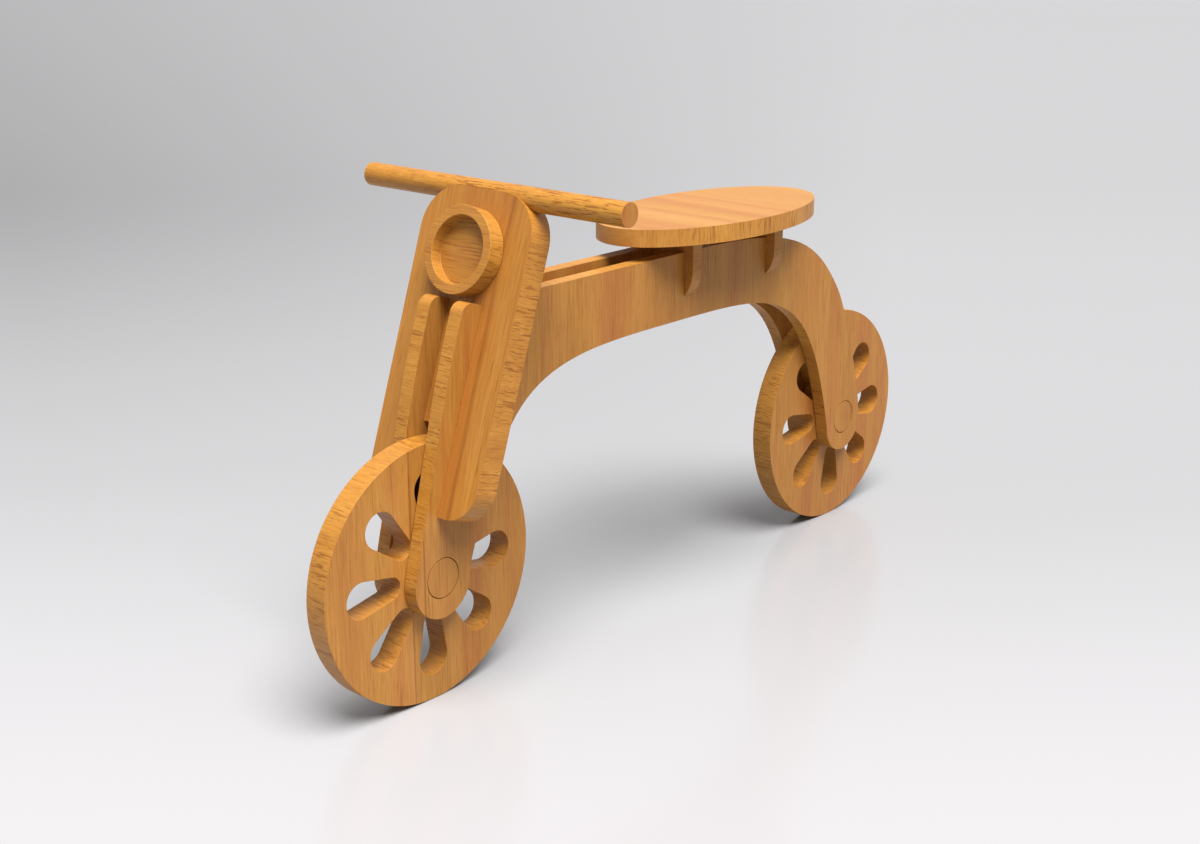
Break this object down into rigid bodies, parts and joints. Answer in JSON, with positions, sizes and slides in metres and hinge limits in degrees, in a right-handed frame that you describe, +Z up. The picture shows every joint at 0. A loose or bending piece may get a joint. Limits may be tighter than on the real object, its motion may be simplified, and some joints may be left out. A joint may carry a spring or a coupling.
{
  "type": "balance bike",
  "caption": "Child's wooden balance bike: arched side-plate frame, oval seat, steered head board with fork, handlebar and round light, and solid wheels pierced with teardrop holes.",
  "frame": {"origin": "on the ground, on the mid plane, halfway between the two wheel contact points", "axes": "+Z up, -Y forward, +X to the rider's left"},
  "size_m": [0.322, 0.901, 0.4698],
  "materials": {
    "frame_plate_left": "honey-coloured wood with a satin clear finish",
    "frame_plate_right": "honey-coloured wood with a satin clear finish",
    "head_block": "honey-coloured wood with a satin clear finish",
    "head_pin_upper": "honey-coloured wood with a satin clear finish",
    "head_pin_lower": "honey-coloured wood with a satin clear finish",
    "seat": "honey-coloured wood with a satin clear finish",
    "seat_support_front": "honey-coloured wood with a satin clear finish",
    "seat_support_rear": "honey-coloured wood with a satin clear finish",
    "seat_pin_front_left": "honey-coloured wood with a satin clear finish",
    "seat_pin_front_right": "honey-coloured wood with a satin clear finish",
    "seat_pin_rear_left": "honey-coloured wood with a satin clear finish",
    "seat_pin_rear_right": "honey-coloured wood with a satin clear finish",
    "rear_axle": "honey-coloured wood with a satin clear finish",
    "rear_washer_left": "matt dark washer material",
    "rear_washer_right": "matt dark washer material",
    "head_board": "honey-coloured wood with a satin clear finish",
    "handlebar": "honey-coloured wood with a satin clear finish",
    "headlight": "honey-coloured wood with a satin clear finish",
    "fork_plate_left": "honey-coloured wood with a satin clear finish",
    "fork_plate_right": "honey-coloured wood with a satin clear finish",
    "head_lug_upper": "honey-coloured wood with a satin clear finish",
    "head_lug_lower": "honey-coloured wood with a satin clear finish",
    "steering_dowel": "honey-coloured wood with a satin clear finish",
    "steering_washer_upper": "matt dark washer material",
    "steering_washer_lower": "matt dark washer material",
    "front_axle": "honey-coloured wood with a satin clear finish",
    "front_washer_left": "matt dark washer material",
    "front_washer_right": "matt dark washer material",
    "fork_pin_left_lower": "honey-coloured wood with a satin clear finish",
    "fork_pin_left_upper": "honey-coloured wood with a satin clear finish",
    "fork_pin_right_lower": "honey-coloured wood with a satin clear finish",
    "fork_pin_right_upper": "honey-coloured wood with a satin clear finish",
    "lug_pin_left": "honey-coloured wood with a satin clear finish",
    "lug_pin_right": "honey-coloured wood with a satin clear finish",
    "bar_pin_left": "honey-coloured wood with a satin clear finish",
    "bar_pin_right": "honey-coloured wood with a satin clear finish",
    "front_wheel": "honey-coloured wood with a satin clear finish",
    "rear_wheel": "honey-coloured wood with a satin clear finish"
  },
  "bodies": {
    "frame": {"frame_plate_left": "frame_plate_left", "frame_plate_right": "frame_plate_right", "head_block": "head_block", "head_pin_upper": "head_pin_upper", "head_pin_lower": "head_pin_lower", "seat": "seat", "seat_support_front": "seat_support_front", "seat_support_rear": "seat_support_rear", "seat_pin_front_left": "seat_pin_front_left", "seat_pin_front_right": "seat_pin_front_right", "seat_pin_rear_left": "seat_pin_rear_left", "seat_pin_rear_right": "seat_pin_rear_right", "rear_axle": "rear_axle", "rear_washer_left": "rear_washer_left", "rear_washer_right": "rear_washer_right"},
    "steering": {"head_board": "head_board", "handlebar": "handlebar", "headlight": "headlight", "fork_plate_left": "fork_plate_left", "fork_plate_right": "fork_plate_right", "head_lug_upper": "head_lug_upper", "head_lug_lower": "head_lug_lower", "steering_dowel": "steering_dowel", "steering_washer_upper": "steering_washer_upper", "steering_washer_lower": "steering_washer_lower", "front_axle": "front_axle", "front_washer_left": "front_washer_left", "front_washer_right": "front_washer_right", "fork_pin_left_lower": "fork_pin_left_lower", "fork_pin_left_upper": "fork_pin_left_upper", "fork_pin_right_lower": "fork_pin_right_lower", "fork_pin_right_upper": "fork_pin_right_upper", "lug_pin_left": "lug_pin_left", "lug_pin_right": "lug_pin_right", "bar_pin_left": "bar_pin_left", "bar_pin_right": "bar_pin_right"},
    "front_wheel": {"front_wheel": "front_wheel"},
    "rear_wheel": {"rear_wheel": "rear_wheel"}
  },
  "joints": [
    {"name": "steering_turn", "type": "hinge", "parent": "frame", "child": "steering", "pos_m": [0, -0.23375, 0.30851], "axis": [0, 0.3209, 0.9471], "range_deg": [-38, 38]},
    {"name": "front_wheel_spin", "type": "hinge", "parent": "steering", "child": "front_wheel", "pos_m": [0, -0.3255, 0.125], "axis": [1, 0, 0], "continuous": true},
    {"name": "rear_wheel_spin", "type": "hinge", "parent": "frame", "child": "rear_wheel", "pos_m": [0, 0.3255, 0.125], "axis": [1, 0, 0], "continuous": true}
  ]
}
